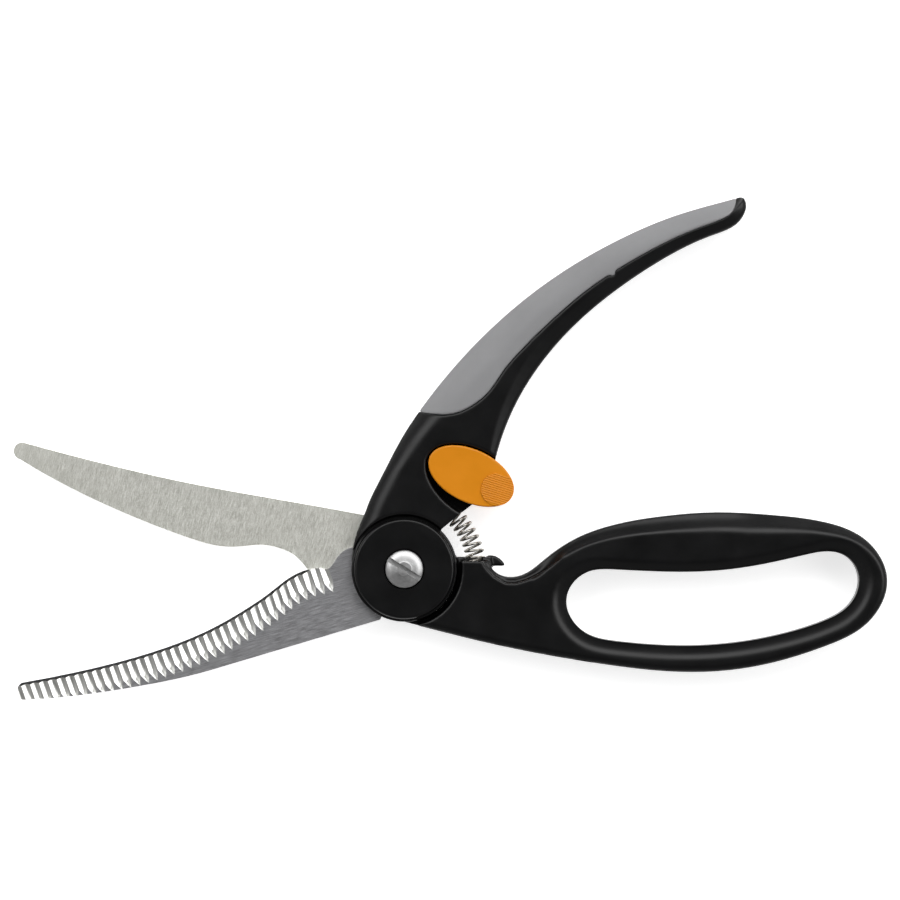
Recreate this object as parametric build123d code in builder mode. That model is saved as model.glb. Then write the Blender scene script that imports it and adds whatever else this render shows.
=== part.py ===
from build123d import *
import math
import os

os.makedirs("parts", exist_ok=True)

# Poultry shears lying open on their rear face. The pivot axis is the Z axis, the handles point to +X,
# the rear face is Z = 0, and the front, with the screw head, is up. Millimetres and degrees.

# ------------------------------------------------------------------ driving dimensions
THICKNESS = 15.0  # through both handles and both pivot bosses
BLADE_THICKNESS = 2.5
RUNNING_GAP = 0.05  # between faces and bores that turn on each other
CAP_THICKNESS = 2.3
CAP_RADIUS = 14.1
CAP_FILLET = 0.8
FLANGE_RADIUS = 14.9
MOAT_RADIUS = 15.3  # where the upper handle steps up from its flange
RECESS_RADIUS = 16.2  # round the other lever's flange
HUB_RADIUS = 14.7  # round part of the serrated blade at the pivot
REAR_HUB_RADIUS = 14.2  # and of the smooth blade
HUB_CLEARANCE = 0.3  # round the upper lever's hub, in the loop handle
SCREW_RADIUS = 2.5
SCREW_END = 0.6  # above the rear face
BUSH_RADIUS = 4.0
WASHER_THICKNESS = 0.5
HEAD_RADIUS = 5.35
WASHER_RADIUS = 5.2
HEAD_CLEARANCE = 0.4  # round the head, in the front cap
DOME_HEIGHT = 1.5
SCREW_SLOT_WIDTH = 1.4
SCREW_SLOT_DEPTH = 1.4
SCREW_SLOT_ANGLE = -31.7
NUT_RADIUS = 5.0
NUT_CLEARANCE = 0.3
NUT_INSET = 0.4  # of the nut's face in the rear cap
NUT_NOTCH = (1.0, 1.4)
SPRING_ARC = 20.3  # the spring's centre line is an arc about the pivot
SPRING_RADIUS = 2.85  # outside of the coil
SPRING_WIRE = 0.65
POCKET_RADIUS = 3.3
UPPER_POCKET = (40.0, 66.0)  # angles about the pivot
LOWER_POCKET = (-7.0, 14.0)
CUP_THICKNESS = 1.2
CUP_CLEARANCE = 0.05
SPRING_END_GAP = 0.3  # degrees between the spring and each cup
LATCH_TRAVEL = 14.0
GRIND_DEPTH = 1.2  # of the smooth blade's long bevel, ground from behind
GRIND_WIDTH = 3.6
FACET_DEPTH = 1.5  # of the serrated blade's steep edge facet
FACET_WIDTH = 0.9
FLUTE_COUNT = 38
FLUTE_PITCH = 2.536  # along the cutting edge
FLUTE_START = -1.72  # of the first flute, along the edge from the tip's end of it
FLUTE_DEPTH = 0.55
FLUTE_LENGTH = 8.0
FLUTE_POINT = 2.9  # length over which a flute narrows to its end
FLUTE_OVERRUN = 2.0  # past the cutting edge
FLUTE_ANGLE = -71.0  # down from the cutting edge

# ------------------------------------------------------------------ heights that follow from them
MID = THICKNESS / 2
REAR_BLADE_BOTTOM = MID - BLADE_THICKNESS
REAR_BLADE_TOP = MID - RUNNING_GAP / 2
FRONT_BLADE_BOTTOM = MID + RUNNING_GAP / 2
FRONT_BLADE_TOP = MID + BLADE_THICKNESS
BLADE_BODY = BLADE_THICKNESS - RUNNING_GAP / 2
FLANGE_TOP = THICKNESS - CAP_THICKNESS
BUSH_TOP = FLANGE_TOP + RUNNING_GAP
HEAD_BOTTOM = BUSH_TOP + WASHER_THICKNESS
DOME_TOP = THICKNESS + DOME_HEIGHT

# ------------------------------------------------------------------ outlines in the XY plane
SMOOTH_SPINE = [(-107.7, 35.6), (-85.7, 29.8), (-60.3, 24.0), (-29.3, 18.4), (-12.4, 15.3)]
SMOOTH_TIP = (-110.1, 33.2)
SMOOTH_EDGE = [
    (-108.3, 30.8), (-97.0, 24.3), (-77.3, 15.0), (-60.3, 8.5), (-53.5, 6.6), (-47.0, 6.2), (-39.5, 6.7),
    (-35.0, 5.7), (-31.0, 3.8), (-27.9, 0.6), (-24.5, -3.0),
]
SMOOTH_HEEL = [(-9.0, -11.0), (0, 0), (-4.0, 13.8)]  # inside the round part
SMOOTH_TANG = [
    (13.0, -5.5), (22.0, -6.5), (34.0, -8.5), (41.5, -12.0), (40.5, -18.5), (22.0, -15.5), (8.0, -12.7),
]

SERRATED_EDGE = [
    (-107.7, -32.1), (-97.0, -30.1), (-85.7, -27.6), (-68.8, -22.8), (-54.7, -17.1), (-43.4, -10.6),
    (-37.8, -6.7), (-32.3, -2.5), (-28.9, -0.8), (-27.2, -0.25),
]
SERRATED_REST = (-23.7, 0.3)  # end of the unsharpened part, with the last flutes
SERRATED_TIP = (-109.1, -34.4)
SERRATED_SPINE = [(-107.7, -36.9), (-91.4, -35.6), (-77.3, -33.5), (-60.3, -30.1), (-54.7, -28.6)]
SERRATED_HEEL = (-6.8, -14.3)
SERRATED_SHOULDER = [SERRATED_REST, (-21.0, 0.3), (-19.3, 2.6), (-17.6, 4.6), (-14.2, 6.0)]
SERRATED_TANG = [
    (-7.0, 12.0), (-6.0, 18.0), (-1.6, 28.0), (2.8, 38.0), (11.0, 50.5), (22.0, 64.0), (35.0, 76.0),
    (38.5, 72.0), (27.0, 60.0), (16.0, 46.0), (8.2, 36.5), (4.4, 30.0), (3.6, 22.0), (4.4, 12.0),
]

LOOP_OUTLINE = [
    (24.6, 0.1), (28.4, -2.2), (32.4, -2.0), (39.8, 2.9), (48.2, 8.5), (59.5, 12.5), (73.6, 14.9),
    (87.7, 15.9), (103.0, 15.2), (118.7, 13.1), (130.0, 8.0), (135.8, -3.0), (130.0, -15.4),
    (118.7, -21.6), (103.0, -26.5), (87.7, -28.8), (74.0, -28.8), (59.5, -27.3), (42.4, -24.6),
    (19.9, -20.0), (6.0, -16.5), (-3.2, -14.2),
]
# A flute's section, across it and up from the blade's face: a long wall that faces the pivot and a short one
FLUTE_WALL = [(-1.30, 0.03), (-0.50, -0.31), (0.28, -FLUTE_DEPTH)]
FLUTE_CREST = (1.27, 0.03)
FLUTE_ABOVE = 1.0  # how far the cut reaches above the face

LOOP_OPENING = [
    (45.6, -8.8), (47.2, -4.3), (51.5, -0.9), (59.5, -0.2), (73.6, -0.8), (87.7, -0.5), (101.8, 1.5),
    (113.0, 4.0), (119.5, 4.9), (124.8, 3.2), (127.9, -2.8), (124.4, -10.9), (118.7, -14.3),
    (107.4, -18.0), (94.0, -20.6), (79.2, -21.6), (60.0, -20.4), (51.0, -18.0), (46.8, -13.6),
]
SEAT_WALL = 3.3  # top of the rear half of the spring seat
SEAT_FACE = 2.2  # top of its front half
SEAT_START = 12.0
SEAT_END = (24.0, 1.5)
SEAT_CUT = [(12.0, SEAT_FACE), (26.0, SEAT_FACE), (26.0, 8.0), (12.0, 8.0)]
LATCH_RELIEF = [
    (22.0, 4.5), (22.0, 2.2), (22.9, 0.6), (25.3, -2.1), (28.5, -3.9), (31.3, -4.0), (34.4, -3.1),
    (38.0, -1.3), (43.9, 2.6), (49.0, 8.8), (44.0, 12.0),
]
HOOK_BACK = [(22.0, 3.3), (24.0, 3.8), (25.8, 3.5), (27.3, 2.5), (28.4, 0.95)]
HOOK_UNDER = [(28.4, 0.95), (28.2, 0.8), (24.9, 0.8), (24.4, 0.0), (22.0, -2.0)]
HOOK_ROOT = [(22.0, 2.2), (22.0, 3.3), (24.2, 3.3), (24.7, 0.9), (24.4, 0.0)]
HOOK_ROOT_THICKNESS = 6.0

HANDLE_BACK = [  # outer side, from the pivot to the tip
    (-10.9, 16.2), (-9.7, 19.4), (-6.9, 25.0), (-1.0, 36.3), (6.6, 47.6), (15.9, 58.9), (27.2, 70.2),
    (41.3, 81.4), (60.5, 92.7), (76.6, 99.5), (89.4, 103.2),
]
HANDLE_TIP = [(93.3, 104.3), (95.2, 104.5), (96.1, 103.1), (96.0, 100.8), (95.1, 98.9), (93.7, 97.2)]
HANDLE_FRONT = [  # inner side, from the tip back to the latch
    (91.0, 95.5), (86.2, 93.7), (79.7, 90.9), (73.2, 87.4), (63.5, 81.2), (50.2, 70.7), (39.3, 58.9),
    (32.0, 47.6), (27.2, 36.3), (25.4, 29.5), (24.4, 25.0), (22.0, 21.0), (19.0, 18.0),
]
HANDLE_FACE = [(19.0, 18.0), (15.5, 15.3), (10.5, 11.2)]
# Covers the blades' round parts
HANDLE_SKIRT = [(-10.9, 16.2), (-12.3, 13.0), (-13.4, 10.1), (-14.4, 6.2), (-14.8, 2.4)]
SPINE_CLEARANCE = [(-20, 10), (-20, 17.2), (-6, 14.6), (-6, 10)]  # where the smooth blade leaves the handle
GRIP_EDGE = [
    (2.0, 45.0), (4.9, 44.1), (8.6, 43.5), (12.2, 43.4), (15.7, 44.2), (19.5, 46.2), (22.8, 48.8),
    (25.4, 52.0), (28.0, 55.9), (31.2, 59.7), (37.7, 66.4), (44.1, 72.3), (50.6, 77.8), (57.1, 82.4),
    (70.0, 90.0), (82.9, 95.9), (89.2, 98.3), (91.4, 99.6), (92.7, 101.2), (93.3, 103.4), (93.6, 106.0),
]
GRIP_CORE_EDGE = (2, 15)  # the run of those points that the hard core follows
GRIP_OUTSIDE = [(93.6, 106.0), (60.0, 106.0), (2.0, 70.0), (-6.0, 47.0), (2.0, 45.0)]
GATE = (58.4, 83.2)  # moulding mark on the grip's edge
GATE_RADIUS = 0.9
GRIP_WALL = 2.5  # soft layer over the handle's hard core

# ------------------------------------------------------------------ latch
LATCH_CENTRE = Vector(18.8, 26.1)
LATCH_TILT = -25.6
LATCH_HALF_LENGTH = 12.9
LATCH_HALF_WIDTH = 7.4
LATCH_PIVOT_OFFSET = -9.75  # along the oval, from its centre
LATCH_CLEARANCE = 0.5
PLATE_THICKNESS = 2.0
LATCH_ARM = 3.0  # thickness of the arm in the middle
ARM_HALF_WIDTH = 2.2
ARM_HUB = 3.6
ARM_CLEARANCE = 0.2  # above and below the arm
ARM_SIDE_CLEARANCE = 0.6
HUB_SIDE_CLEARANCE = 0.4
PIN_RADIUS = 1.6
PIN_END_GAP = 0.3
POST_RADIUS = 1.6
PLATE_FILLET = 0.45
PLATE_CLEARANCE = 0.2  # under a plate
WELL_DEPTH = 4.4  # of the recess round the front plate
RELIEF_CLEARANCE = 0.6  # under a plate where it passes over the loop handle
THUMB_CENTRE = (26.2, 22.4)
THUMB_RADIUS = 4.6
THUMB_HEIGHT = 0.3
RIDGE_HEIGHT = 0.16
RIDGE_WIDTH = 0.54
RIDGE_PITCH = 0.6
RIDGE_COUNT = 14
RIDGE_ANGLE = -17.0
DETENT_RADIUS = 1.0
DETENT_LENGTH = 4.0
ARM_END = 11.6  # along the oval
PAWL_SHAPE = [(9.4, -1.5), (11.9, -1.0), (11.6, 2.8), (9.6, 4.4)]  # along and across it
POST_PLACE = (10.7, 0.3)


def on_latch(along, across):
    """A point given along and across the latch oval; across is positive towards the loop handle."""
    tilt = math.radians(LATCH_TILT)
    x = LATCH_CENTRE.X + along * math.cos(tilt) + across * math.sin(tilt)
    y = LATCH_CENTRE.Y + along * math.sin(tilt) - across * math.cos(tilt)
    return (x, y)


def polar(radius, angle):
    return (radius * math.cos(math.radians(angle)), radius * math.sin(math.radians(angle)))


def beside(points, distance):
    """A run of points moved to its own right-hand side."""
    moved = []
    for i, (x, y) in enumerate(points):
        x0, y0 = points[max(i - 1, 0)]
        x1, y1 = points[min(i + 1, len(points) - 1)]
        length = math.hypot(x1 - x0, y1 - y0)
        moved.append((x + distance * (y1 - y0) / length, y - distance * (x1 - x0) / length))
    return moved


def tube_arc(radius, start, end):
    """A solid round piece of the spring's arc, between two angles about the pivot."""
    radial = (*polar(1, start), 0)
    backward = (*polar(1, start - 90), 0)
    with BuildSketch(Plane(origin=(0, 0, 0), x_dir=radial, z_dir=backward)) as section:
        with Locations((SPRING_ARC, MID)):
            Circle(radius)
    return revolve(section.sketch, axis=Axis.Z, revolution_arc=end - start, mode=Mode.PRIVATE)


LATCH_PIVOT = on_latch(LATCH_PIVOT_OFFSET, 0)
PAWL = [on_latch(*point) for point in PAWL_SHAPE]
POST = on_latch(*POST_PLACE)
SLOT_HALF = LATCH_ARM / 2 + ARM_CLEARANCE

# The detent plunger presses on the latch hub from the handle's side
DETENT_WAY = Vector(*polar(1, LATCH_TILT + 90))
DETENT_MIDDLE = Vector(*LATCH_PIVOT, MID) + DETENT_WAY * (ARM_HUB + RUNNING_GAP + DETENT_LENGTH / 2)
DETENT_PLACE = Plane(origin=DETENT_MIDDLE, z_dir=DETENT_WAY).location

CUP_ANGLE = math.degrees(CUP_THICKNESS / SPRING_ARC)
SPRING_START = LOWER_POCKET[0] + CUP_ANGLE + SPRING_END_GAP
SPRING_END = UPPER_POCKET[1] - CUP_ANGLE - SPRING_END_GAP


def flute_places(edge):
    """Where each flute starts, on the blade's face, looking along the flute; X is across it and Y up."""
    along = (*polar(1, FLUTE_ANGLE), 0)
    across = (*polar(1, FLUTE_ANGLE + 90), 0)
    places = []
    for i in range(FLUTE_COUNT):
        distance = FLUTE_START + i * FLUTE_PITCH
        share = min(max(distance / edge.length, 0), 1)
        beyond = distance - share * edge.length
        start = (edge @ share) + (edge % share) * beyond
        places.append(Plane(origin=(start.X, start.Y, FRONT_BLADE_TOP), x_dir=across, z_dir=along).location)
    return places


# ------------------------------------------------------------------ smooth blade, rear
with BuildPart() as smooth_blade:
    with BuildSketch(Plane.XY.offset(REAR_BLADE_BOTTOM)):
        with BuildLine():
            Spline(SMOOTH_SPINE)
            ThreePointArc(SMOOTH_SPINE[0], SMOOTH_TIP, SMOOTH_EDGE[0])
            Spline(SMOOTH_EDGE)
            Polyline(SMOOTH_EDGE[-1], *SMOOTH_HEEL, SMOOTH_SPINE[-1])
        make_face()
        Circle(REAR_HUB_RADIUS)
        Polygon(*SMOOTH_TANG, align=None)
        Circle(BUSH_RADIUS, mode=Mode.SUBTRACT)
    extrude(amount=BLADE_BODY)
    # Ground from behind to a thin edge
    ground = smooth_blade.edges().filter_by(GeomType.BSPLINE).group_by(Axis.Z)[0].sort_by(Axis.Y)[0]
    chamfer(ground, GRIND_WIDTH, GRIND_DEPTH, reference=smooth_blade.faces().sort_by(Axis.Z)[0])
smooth_blade.part.label = "smooth_blade"

# ------------------------------------------------------------------ serrated blade, front
with BuildSketch() as flute_section:
    with BuildLine():
        ThreePointArc(*FLUTE_WALL)
        Polyline(
            FLUTE_WALL[-1], FLUTE_CREST, (FLUTE_CREST[0], FLUTE_ABOVE), (FLUTE_WALL[0][0], FLUTE_ABOVE),
            FLUTE_WALL[0],
        )
    make_face()

with BuildPart() as flute_cut:
    with BuildSketch(Plane.XY.offset(-FLUTE_OVERRUN)):
        add(flute_section.sketch)
    extrude(amount=FLUTE_OVERRUN + FLUTE_LENGTH - FLUTE_POINT)
    # Rises out of the face, a little past the point where it leaves it
    with BuildSketch(Plane.XY.offset(FLUTE_LENGTH - FLUTE_POINT)):
        add(flute_section.sketch)
    extrude(amount=1.2 * math.hypot(FLUTE_DEPTH, FLUTE_POINT), dir=(0, FLUTE_DEPTH, FLUTE_POINT))

with BuildPart() as serrated_blade:
    with BuildSketch(Plane.XY.offset(FRONT_BLADE_BOTTOM)):
        with BuildLine():
            cutting_edge = Spline(SERRATED_EDGE)
            Line(SERRATED_EDGE[-1], SERRATED_REST)
            ThreePointArc(SERRATED_EDGE[0], SERRATED_TIP, SERRATED_SPINE[0])
            Spline(SERRATED_SPINE)
            Polyline(SERRATED_SPINE[-1], SERRATED_HEEL, (0, 0), SERRATED_SHOULDER[-1])
            Spline(SERRATED_SHOULDER)
        make_face()
        Circle(HUB_RADIUS)
        Polygon(*SERRATED_TANG, align=None)
        Circle(BUSH_RADIUS + RUNNING_GAP, mode=Mode.SUBTRACT)
    extrude(amount=BLADE_BODY)
    # Steep facet along the cutting edge, then flutes that run out on the face behind it
    facet = serrated_blade.edges().filter_by(GeomType.BSPLINE).group_by(Axis.Z)[-1].sort_by(SortBy.LENGTH)[-1]
    chamfer(facet, FACET_WIDTH, FACET_DEPTH, reference=serrated_blade.faces().sort_by(Axis.Z)[-1])
    with Locations(*flute_places(cutting_edge)):
        add(flute_cut.part, mode=Mode.SUBTRACT)
serrated_blade.part.label = "serrated_blade"


# ------------------------------------------------------------------ upper handle: hard core and soft grip
def handle_outline():
    """The whole outline of the upper handle, down to the pivot."""
    with BuildSketch() as outline:
        with BuildLine():
            Spline(HANDLE_BACK + HANDLE_TIP + HANDLE_FRONT)
            Polyline(*HANDLE_FACE, (0, 0), HANDLE_BACK[0])
        make_face()
    return outline.sketch


def latch_sweep():
    """The area that the latch oval covers through its travel, with some clearance."""
    with BuildSketch() as sweep:
        for turn in (0, LATCH_TRAVEL / 3, LATCH_TRAVEL * 2 / 3, LATCH_TRAVEL):
            with Locations(Location((*LATCH_PIVOT, 0), (0, 0, LATCH_TILT - turn))):
                with Locations((-LATCH_PIVOT_OFFSET, 0)):
                    Ellipse(LATCH_HALF_LENGTH + LATCH_CLEARANCE, LATCH_HALF_WIDTH + LATCH_CLEARANCE)
    return sweep.sketch


with BuildPart() as handle_blank:
    add(handle_outline())
    extrude(amount=THICKNESS)

with BuildPart() as grip_zone:
    with BuildSketch():
        with BuildLine():
            Spline(GRIP_EDGE)
            Polyline(GRIP_OUTSIDE)
        make_face()
        with Locations(GATE):
            Circle(GATE_RADIUS)
    extrude(amount=THICKNESS)

with BuildPart() as core_zone:
    with BuildSketch(Plane.XY.offset(GRIP_WALL + 1)):
        with BuildLine():
            outside = Spline(beside(HANDLE_BACK[3:-1], GRIP_WALL))
            inside = Spline(beside(GRIP_EDGE[GRIP_CORE_EDGE[0]:GRIP_CORE_EDGE[1]], GRIP_WALL))
            Line(outside @ 0, inside @ 0)
            Line(outside @ 1, inside @ 1)
        make_face()
    extrude(amount=THICKNESS - 2 * (GRIP_WALL + 1))

with BuildPart() as soft_grip:
    add(handle_blank.part)
    add(grip_zone.part, mode=Mode.INTERSECT)
    add(core_zone.part, mode=Mode.SUBTRACT)
    with BuildSketch(Plane.XY.offset(FRONT_BLADE_BOTTOM)):
        Polygon(*SERRATED_TANG, align=None)
    extrude(amount=BLADE_BODY, mode=Mode.SUBTRACT)
soft_grip.part.label = "soft_grip"

with BuildPart() as upper_handle:
    add(handle_blank.part)
    add(soft_grip.part, mode=Mode.SUBTRACT)
    with BuildSketch(Plane.XY.offset(FRONT_BLADE_TOP)):
        Circle(FLANGE_RADIUS)
    extrude(amount=FLANGE_TOP - FRONT_BLADE_TOP)
    with BuildSketch(Plane.XY.offset(FRONT_BLADE_TOP)):
        with BuildLine():
            Spline(HANDLE_SKIRT)
            Polyline(HANDLE_SKIRT[-1], (0, 0), HANDLE_SKIRT[0])
        make_face()
    extrude(amount=THICKNESS - FRONT_BLADE_TOP)
    with BuildSketch(Plane.XY.offset(FLANGE_TOP)):
        Circle(MOAT_RADIUS)
    extrude(amount=CAP_THICKNESS, mode=Mode.SUBTRACT)
    with BuildSketch():
        Circle(RECESS_RADIUS)
        Polygon(*SPINE_CLEARANCE, align=None)
    extrude(amount=FRONT_BLADE_BOTTOM, mode=Mode.SUBTRACT)
    with BuildSketch(Plane.XY.offset(FRONT_BLADE_BOTTOM)):
        Circle(HUB_RADIUS)
        Polygon(*SERRATED_TANG, align=None)
    extrude(amount=BLADE_BODY, mode=Mode.SUBTRACT)
    with BuildSketch():
        Circle(BUSH_RADIUS + RUNNING_GAP)
    extrude(amount=THICKNESS, mode=Mode.SUBTRACT)
    # Latch: a recess on each face, the front one deeper, a slot in the middle for the arm, and the pin's bore
    with BuildSketch(Plane.XY.offset(THICKNESS - WELL_DEPTH)):
        add(latch_sweep())
    extrude(amount=WELL_DEPTH, mode=Mode.SUBTRACT)
    with BuildSketch():
        add(latch_sweep())
    extrude(amount=PLATE_THICKNESS + PLATE_CLEARANCE, mode=Mode.SUBTRACT)
    with BuildSketch(Plane.XY.offset(MID - SLOT_HALF)):
        with Locations(LATCH_PIVOT):
            Circle(ARM_HUB + HUB_SIDE_CLEARANCE)
        for turn in (0, LATCH_TRAVEL / 2, LATCH_TRAVEL):
            with Locations(Location((*LATCH_PIVOT, 0), (0, 0, LATCH_TILT - turn))):
                Rectangle(
                    2 * LATCH_HALF_LENGTH, 2 * (ARM_HALF_WIDTH + ARM_SIDE_CLEARANCE),
                    align=(Align.MIN, Align.CENTER),
                )
    extrude(amount=2 * SLOT_HALF, mode=Mode.SUBTRACT)
    with BuildSketch():
        with Locations(LATCH_PIVOT):
            Circle(PIN_RADIUS)
    extrude(amount=THICKNESS, mode=Mode.SUBTRACT)
    with Locations(DETENT_PLACE):
        Cylinder(DETENT_RADIUS, DETENT_LENGTH, mode=Mode.SUBTRACT)
    add(tube_arc(POCKET_RADIUS, *UPPER_POCKET), mode=Mode.SUBTRACT)
upper_handle.part.label = "upper_handle"

# ------------------------------------------------------------------ loop handle
with BuildPart() as loop_handle:
    with BuildSketch():
        with BuildLine():
            Spline(LOOP_OUTLINE)
            Polyline(
                LOOP_OUTLINE[-1], (0, 0), (SEAT_START, SEAT_WALL), HOOK_BACK[0], SEAT_END, LOOP_OUTLINE[0]
            )
        make_face()
        with BuildLine():
            Spline(LOOP_OPENING, periodic=True)
        make_face(mode=Mode.SUBTRACT)
    extrude(amount=THICKNESS)
    with BuildSketch(Plane.XY.offset(CAP_THICKNESS)):
        Circle(FLANGE_RADIUS)
    extrude(amount=REAR_BLADE_BOTTOM - CAP_THICKNESS)
    with BuildSketch():
        Circle(FLANGE_RADIUS)
    extrude(amount=CAP_THICKNESS, mode=Mode.SUBTRACT)
    with BuildSketch(Plane.XY.offset(REAR_BLADE_BOTTOM)):
        Circle(REAR_HUB_RADIUS)
        Polygon(*SMOOTH_TANG, align=None)
    extrude(amount=BLADE_BODY, mode=Mode.SUBTRACT)
    with BuildSketch(Plane.XY.offset(REAR_BLADE_TOP)):
        Circle(HUB_RADIUS + HUB_CLEARANCE)
    extrude(amount=THICKNESS, mode=Mode.SUBTRACT)
    with BuildSketch(Plane.XY.offset(FRONT_BLADE_TOP - HUB_CLEARANCE)):
        Circle(RECESS_RADIUS)
    extrude(amount=THICKNESS, mode=Mode.SUBTRACT)
    with BuildSketch(Plane.XY.offset(MID + SLOT_HALF)):
        Polygon(*SEAT_CUT, align=None)
    extrude(amount=THICKNESS, mode=Mode.SUBTRACT)
    # Relief for the latch plates on both faces, then the catch hook in the middle
    with BuildSketch(Plane.XY, Plane.XY.offset(THICKNESS - PLATE_THICKNESS - RELIEF_CLEARANCE)):
        Polygon(*LATCH_RELIEF, align=None)
    extrude(amount=PLATE_THICKNESS + RELIEF_CLEARANCE, mode=Mode.SUBTRACT)
    with BuildSketch(Plane.XY.offset(MID - LATCH_ARM / 2)):
        with BuildLine():
            Spline(HOOK_BACK)
            Polyline(*HOOK_UNDER, HOOK_BACK[0])
        make_face()
    extrude(amount=LATCH_ARM)
    with BuildSketch(Plane.XY.offset(MID - HOOK_ROOT_THICKNESS / 2)):
        Polygon(*HOOK_ROOT, align=None)
    extrude(amount=HOOK_ROOT_THICKNESS)
    with BuildSketch():
        Circle(BUSH_RADIUS)
    extrude(amount=THICKNESS, mode=Mode.SUBTRACT)
    add(tube_arc(POCKET_RADIUS, *LOWER_POCKET), mode=Mode.SUBTRACT)
loop_handle.part.label = "loop_handle"

# ------------------------------------------------------------------ pivot: caps, screw, nut, bush, washers
with BuildPart() as front_pivot_cap:
    with BuildSketch(Plane.XY.offset(FLANGE_TOP)):
        Circle(CAP_RADIUS)
        Circle(HEAD_RADIUS + HEAD_CLEARANCE, mode=Mode.SUBTRACT)
    extrude(amount=CAP_THICKNESS)
    fillet(front_pivot_cap.edges().group_by(Axis.Z)[-1].sort_by(SortBy.RADIUS)[-1], CAP_FILLET)
front_pivot_cap.part.label = "front_pivot_cap"

with BuildPart() as rear_pivot_cap:
    with BuildSketch():
        Circle(CAP_RADIUS)
        Circle(NUT_RADIUS + NUT_CLEARANCE, mode=Mode.SUBTRACT)
    extrude(amount=CAP_THICKNESS)
    fillet(rear_pivot_cap.edges().group_by(Axis.Z)[0].sort_by(SortBy.RADIUS)[-1], CAP_FILLET)
rear_pivot_cap.part.label = "rear_pivot_cap"

with BuildPart() as pivot_bush:
    with BuildSketch(Plane.XY.offset(CAP_THICKNESS)):
        Circle(BUSH_RADIUS)
        Circle(SCREW_RADIUS, mode=Mode.SUBTRACT)
    extrude(amount=BUSH_TOP - CAP_THICKNESS)
pivot_bush.part.label = "pivot_bush"

with BuildPart() as pivot_washer:
    with BuildSketch(Plane.XY.offset(BUSH_TOP)):
        Circle(WASHER_RADIUS)
        Circle(SCREW_RADIUS, mode=Mode.SUBTRACT)
    extrude(amount=WASHER_THICKNESS)
pivot_washer.part.label = "pivot_washer"

# The dome is a quarter of an ellipse, turned
DOME = [
    (HEAD_RADIUS * math.cos(math.radians(angle)), THICKNESS + DOME_HEIGHT * math.sin(math.radians(angle)))
    for angle in (0, 22.5, 45, 67.5, 90)
]
with BuildPart() as pivot_screw:
    with BuildSketch(Plane.XZ):
        with BuildLine():
            Polyline(
                (0, SCREW_END), (SCREW_RADIUS, SCREW_END), (SCREW_RADIUS, HEAD_BOTTOM),
                (HEAD_RADIUS, HEAD_BOTTOM), (HEAD_RADIUS, THICKNESS),
            )
            Spline(DOME, tangents=((0, 1), (-1, 0)))
            Line((0, DOME_TOP), (0, SCREW_END))
        make_face()
    revolve(axis=Axis.Z)
    with Locations(Location((0, 0, DOME_TOP), (0, 0, SCREW_SLOT_ANGLE))):
        Box(4 * HEAD_RADIUS, SCREW_SLOT_WIDTH, 2 * SCREW_SLOT_DEPTH, mode=Mode.SUBTRACT)
pivot_screw.part.label = "pivot_screw"

with BuildPart() as pivot_nut:
    with BuildSketch(Plane.XY.offset(NUT_INSET)):
        Circle(NUT_RADIUS)
        Circle(SCREW_RADIUS, mode=Mode.SUBTRACT)
    extrude(amount=CAP_THICKNESS - NUT_INSET)
    with PolarLocations((NUT_RADIUS + SCREW_RADIUS) / 2, 2):
        Box(*NUT_NOTCH, CAP_THICKNESS, mode=Mode.SUBTRACT)
pivot_nut.part.label = "pivot_nut"

# ------------------------------------------------------------------ return spring and its two end cups
CUP_RADIUS = POCKET_RADIUS - CUP_CLEARANCE
upper_spring_cup = tube_arc(CUP_RADIUS, UPPER_POCKET[1] - CUP_ANGLE, UPPER_POCKET[1])
upper_spring_cup.label = "upper_spring_cup"
lower_spring_cup = tube_arc(CUP_RADIUS, LOWER_POCKET[0], LOWER_POCKET[0] + CUP_ANGLE)
lower_spring_cup.label = "lower_spring_cup"
return_spring = tube_arc(SPRING_RADIUS, SPRING_START, SPRING_END) - tube_arc(
    SPRING_RADIUS - SPRING_WIRE, SPRING_START, SPRING_END
)
return_spring.label = "return_spring"

# ------------------------------------------------------------------ latch
RIDGE_PLANE = Plane(
    origin=(*THUMB_CENTRE, THICKNESS + THUMB_HEIGHT),
    x_dir=(*polar(1, RIDGE_ANGLE + 90), 0),
    z_dir=(*polar(1, RIDGE_ANGLE), 0),
)
with BuildPart() as thumb_ridges:
    with BuildSketch(RIDGE_PLANE):
        with GridLocations(RIDGE_PITCH, 0, RIDGE_COUNT, 1):
            Polygon((-RIDGE_WIDTH / 2, 0), (RIDGE_WIDTH / 2, 0), (0, RIDGE_HEIGHT), align=None)
    extrude(amount=THUMB_RADIUS, both=True)
    with Locations((*THUMB_CENTRE, THICKNESS + THUMB_HEIGHT)):
        Cylinder(THUMB_RADIUS, 2 * RIDGE_HEIGHT, mode=Mode.INTERSECT)

with BuildPart() as latch_front_plate:
    with BuildSketch(Plane.XY.offset(THICKNESS - PLATE_THICKNESS)):
        with Locations(Location((LATCH_CENTRE.X, LATCH_CENTRE.Y, 0), (0, 0, LATCH_TILT))):
            Ellipse(LATCH_HALF_LENGTH, LATCH_HALF_WIDTH)
    extrude(amount=PLATE_THICKNESS)
    fillet(latch_front_plate.edges().group_by(Axis.Z)[-1], PLATE_FILLET)
    with BuildSketch(Plane.XY.offset(THICKNESS)):
        with Locations(THUMB_CENTRE):
            Circle(THUMB_RADIUS)
    extrude(amount=THUMB_HEIGHT)
    add(thumb_ridges.part)
latch_front_plate.part.label = "latch_front_plate"

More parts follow.
